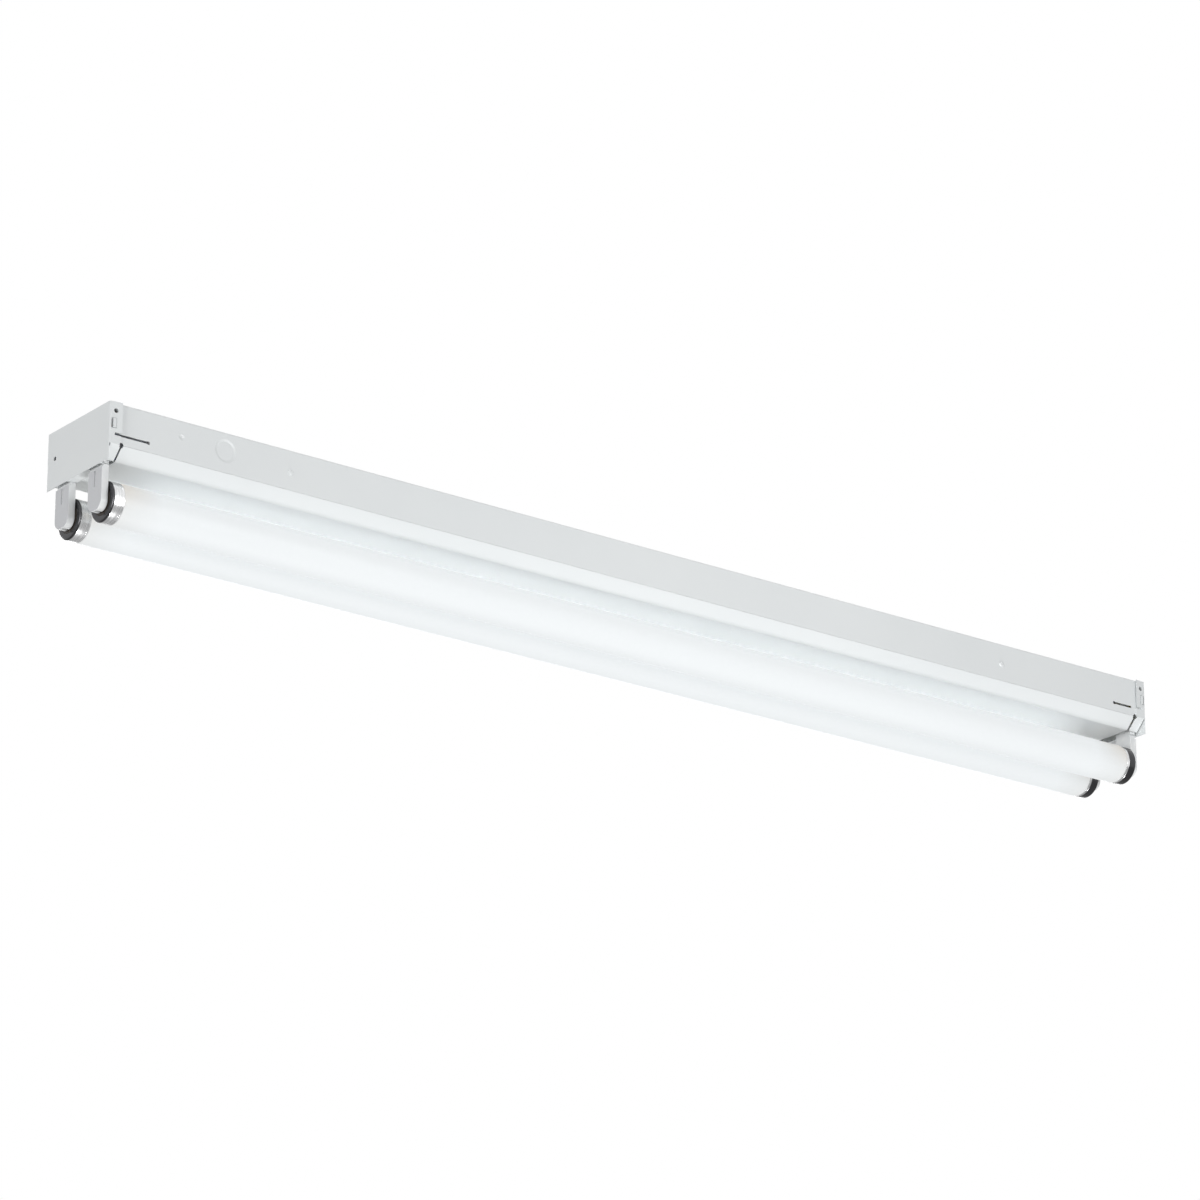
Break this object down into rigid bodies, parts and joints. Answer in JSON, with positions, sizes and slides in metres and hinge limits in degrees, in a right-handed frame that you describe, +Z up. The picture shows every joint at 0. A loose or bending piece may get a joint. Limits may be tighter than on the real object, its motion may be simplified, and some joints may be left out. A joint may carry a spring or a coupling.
{
  "type": "strip light fixture",
  "caption": "Ceiling strip light: white folded-steel channel with a snap-in sloped cover, end plates, rotary lampholders and straight fluorescent lamps over a hidden ballast.",
  "frame": {"origin": "centre of the supply hole, in the channel's top face that lies against the ceiling", "axes": "+X along the lamps, +Z up through the ceiling, -Y the side that the picture shows"},
  "size_m": [1.2192, 0.1046, 0.1033],
  "materials": {
    "white_enamel": "semi-gloss white baked enamel",
    "holder_plastic": "smooth white moulded plastic",
    "rotor_plastic": "smooth white moulded plastic",
    "contact_bronze": "bright bronze strip",
    "lamp_glass": "clear glass over an opaque white phosphor coat",
    "stem_glass": "clear glass",
    "cathode_wire": "drawn wire",
    "cap_metal": "dull drawn aluminium",
    "cap_insulator": "dark moulded board",
    "pin_brass": "bright brass",
    "ballast_enamel": "black baked enamel",
    "core_iron": "stacked sheet iron",
    "coil_copper": "enamelled copper wire",
    "capacitor_can": "drawn can",
    "zinc_steel": "zinc plated",
    "red_insulation": "plastic wire insulation",
    "blue_insulation": "plastic wire insulation",
    "yellow_insulation": "plastic wire insulation",
    "black_insulation": "plastic wire insulation",
    "white_insulation": "plastic wire insulation",
    "connector_plastic": "moulded plastic",
    "ground_green": "green finish"
  },
  "bodies": {
    "housing": {"channel": "white_enamel", "left_end_plate": "white_enamel", "right_end_plate": "white_enamel", "left_cross_brace": "white_enamel", "right_cross_brace": "white_enamel", "brace_rivets": "white_enamel", "ballast_base": "ballast_enamel", "ballast_case": "ballast_enamel", "ballast_core": "core_iron", "ballast_coils": "coil_copper", "ballast_capacitor": "capacitor_can", "ballast_studs": "zinc_steel", "ballast_nuts": "zinc_steel", "red_leads": "red_insulation", "blue_leads": "blue_insulation", "yellow_leads": "yellow_insulation", "yellow_jumpers": "yellow_insulation", "black_lead": "black_insulation", "white_lead": "white_insulation", "wire_connectors": "connector_plastic", "ground_screw": "ground_green", "front_left_lampholder": "holder_plastic", "front_left_contacts": "contact_bronze", "front_right_lampholder": "holder_plastic", "front_right_contacts": "contact_bronze", "rear_left_lampholder": "holder_plastic", "rear_left_contacts": "contact_bronze", "rear_right_lampholder": "holder_plastic", "rear_right_contacts": "contact_bronze"},
    "cover": {"channel_cover": "white_enamel"},
    "front_lamp": {"front_lamp_tube": "lamp_glass", "front_lamp_left_cap": "cap_metal", "front_lamp_right_cap": "cap_metal", "front_lamp_insulators": "cap_insulator", "front_lamp_pins": "pin_brass", "front_lamp_stems": "stem_glass", "front_lamp_cathodes": "cathode_wire"},
    "front_left_rotor": {"front_left_rotor": "rotor_plastic"},
    "front_right_rotor": {"front_right_rotor": "rotor_plastic"},
    "rear_lamp": {"rear_lamp_tube": "lamp_glass", "rear_lamp_left_cap": "cap_metal", "rear_lamp_right_cap": "cap_metal", "rear_lamp_insulators": "cap_insulator", "rear_lamp_pins": "pin_brass", "rear_lamp_stems": "stem_glass", "rear_lamp_cathodes": "cathode_wire"},
    "rear_left_rotor": {"rear_left_rotor": "rotor_plastic"},
    "rear_right_rotor": {"rear_right_rotor": "rotor_plastic"}
  },
  "joints": [
    {"name": "cover_drop", "type": "slide", "parent": "housing", "child": "cover", "axis": [0, 0, -1], "range_m": [0, 0.013]},
    {"name": "front_lamp_twist", "type": "hinge", "parent": "housing", "child": "front_lamp", "pos_m": [0, -0.0269, -0.0843], "axis": [1, 0, 0], "range_deg": [-90, 90]},
    {"name": "front_left_rotor_turn", "type": "hinge", "parent": "housing", "child": "front_left_rotor", "pos_m": [-0.6044, -0.0269, -0.0843], "axis": [1, 0, 0], "range_deg": [-90, 90]},
    {"name": "front_right_rotor_turn", "type": "hinge", "parent": "housing", "child": "front_right_rotor", "pos_m": [0.6044, -0.0269, -0.0843], "axis": [1, 0, 0], "range_deg": [-90, 90]},
    {"name": "rear_lamp_twist", "type": "hinge", "parent": "housing", "child": "rear_lamp", "pos_m": [0, 0.0269, -0.0843], "axis": [1, 0, 0], "range_deg": [-90, 90]},
    {"name": "rear_left_rotor_turn", "type": "hinge", "parent": "housing", "child": "rear_left_rotor", "pos_m": [-0.6044, 0.0269, -0.0843], "axis": [1, 0, 0], "range_deg": [-90, 90]},
    {"name": "rear_right_rotor_turn", "type": "hinge", "parent": "housing", "child": "rear_right_rotor", "pos_m": [0.6044, 0.0269, -0.0843], "axis": [1, 0, 0], "range_deg": [-90, 90]}
  ],
  "couplings": [
    {"joint": "front_left_rotor_turn", "follows": "front_lamp_twist", "ratio": 1},
    {"joint": "front_right_rotor_turn", "follows": "front_lamp_twist", "ratio": 1},
    {"joint": "rear_left_rotor_turn", "follows": "rear_lamp_twist", "ratio": 1},
    {"joint": "rear_right_rotor_turn", "follows": "rear_lamp_twist", "ratio": 1}
  ]
}
